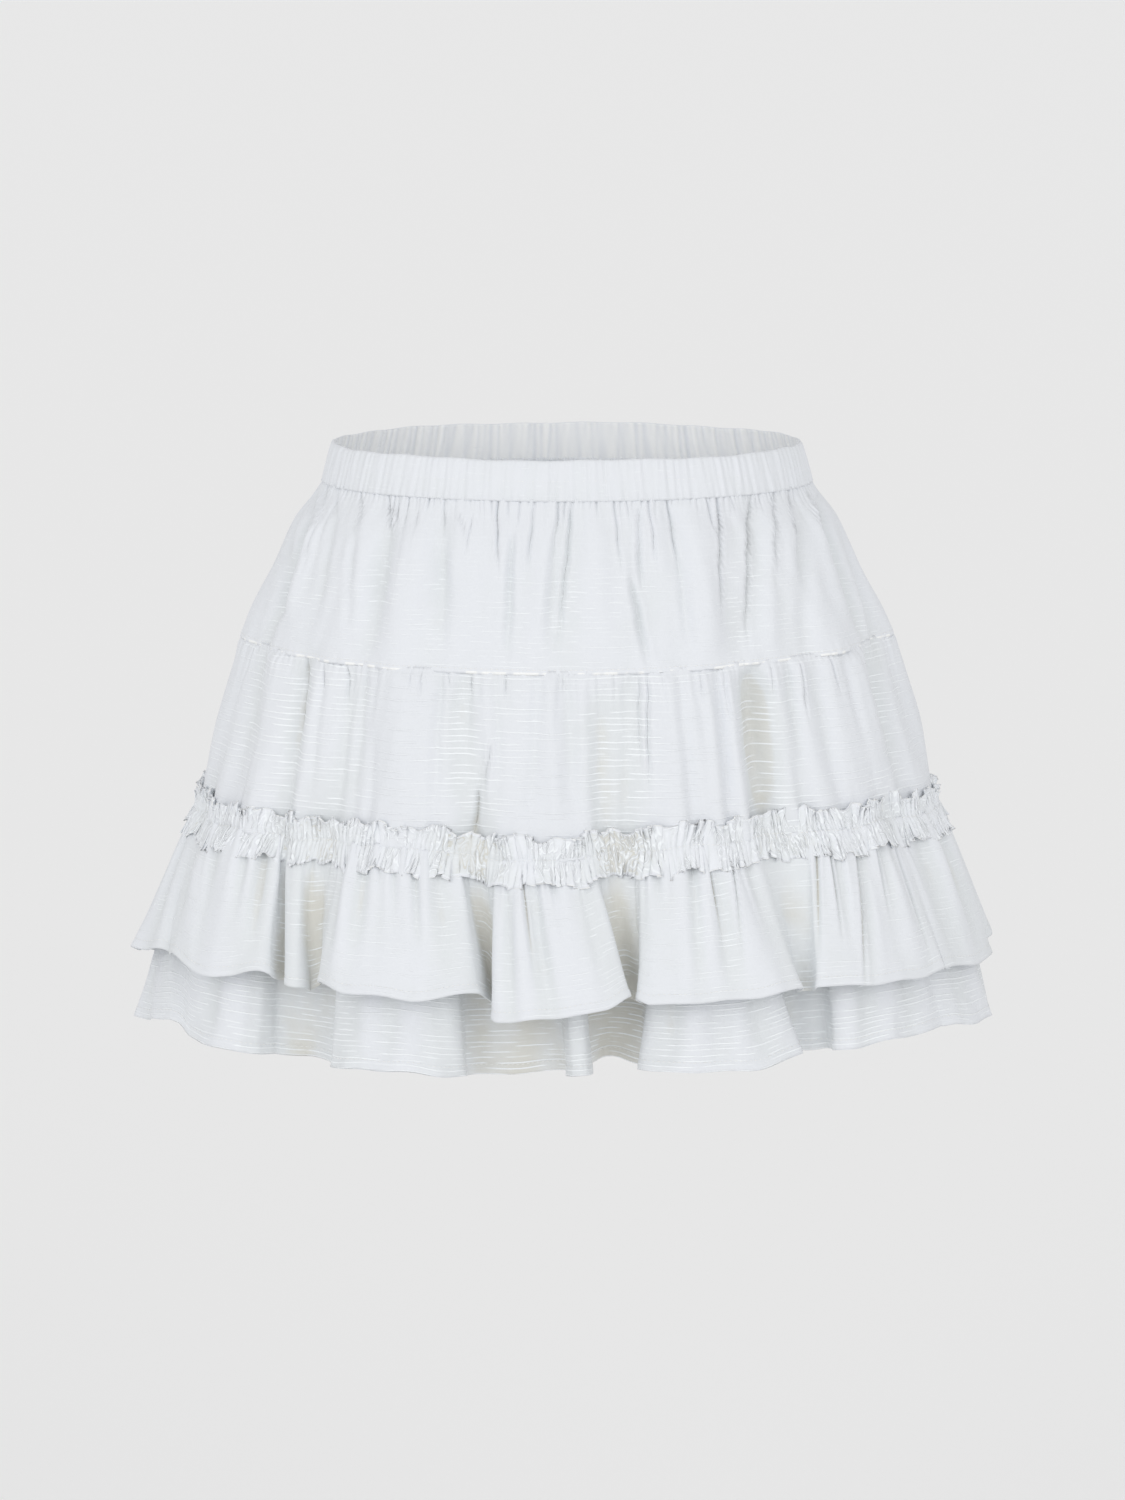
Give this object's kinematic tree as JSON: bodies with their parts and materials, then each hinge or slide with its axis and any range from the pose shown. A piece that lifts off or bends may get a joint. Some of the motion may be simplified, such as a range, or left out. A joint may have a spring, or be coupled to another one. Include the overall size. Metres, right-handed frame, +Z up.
{
  "type": "tiered ruffle skirt",
  "caption": "Short white cotton skirt, filled out as if worn: elastic waistband, gathered yoke, middle tier, ruffled trim and layered flounces, open at waist and hem.",
  "frame": {"origin": "middle of the waistband, at its mid-height, where the wearer's waist holds the skirt", "axes": "+Z up out of the waist, -Y to the front of the skirt, +X to the right of someone who looks at the front"},
  "size_m": [0.5271, 0.386, 0.36],
  "materials": {
    "cotton_white": "matte slub-striped cotton"
  },
  "bodies": {
    "root": {"waistband": "cotton_white", "yoke_front": "cotton_white", "yoke_back": "cotton_white", "tier_front": "cotton_white", "tier_back": "cotton_white", "ruffle_trim": "cotton_white", "flounce_upper_front": "cotton_white", "flounce_upper_back": "cotton_white", "flounce_lower_front": "cotton_white", "flounce_lower_back": "cotton_white"}
  },
  "joints": []
}
